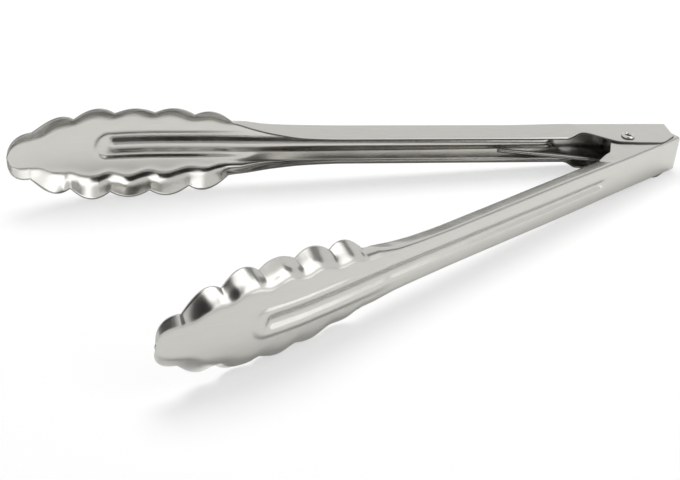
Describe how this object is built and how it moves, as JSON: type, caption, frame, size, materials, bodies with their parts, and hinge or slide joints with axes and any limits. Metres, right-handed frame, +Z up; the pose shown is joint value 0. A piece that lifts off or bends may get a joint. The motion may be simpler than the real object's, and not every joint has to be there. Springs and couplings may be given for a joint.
{
  "type": "spring loaded kitchen tongs",
  "caption": "Pressed sheet steel kitchen tongs with scalloped gripping heads on channel arms, riveted at one end and held open by a torsion spring.",
  "frame": {"origin": "on the table under the middle of the overall box, with the tongs lying on their side, open", "axes": "+X from the tips to the hinge along the centre line, +Y from the inner arm to the outer arm, +Z up; the rivet leans a little from +Z because the wide heads and the lower rivet head rest on the table"},
  "size_m": [0.2968, 0.1534, 0.0445],
  "materials": {
    "arm_steel": "polished stainless sheet with a fine grain",
    "rivet_steel": "bright steel",
    "spring_steel": "drawn spring wire"
  },
  "bodies": {
    "outer": {"outer_arm": "arm_steel", "pivot_rivet": "rivet_steel", "torsion_spring": "spring_steel"},
    "inner": {"inner_arm": "arm_steel"}
  },
  "joints": [
    {"name": "arm_hinge", "type": "hinge", "parent": "outer", "child": "inner", "pos_m": [0.12237, 0, 0.0107], "axis": [-0.0516, 0, -0.9987], "range_deg": [0, 30.9], "stiffness_Nm_per_rad": 0.74, "springref_deg": -15.47, "deforming": ["torsion_spring"]}
  ]
}
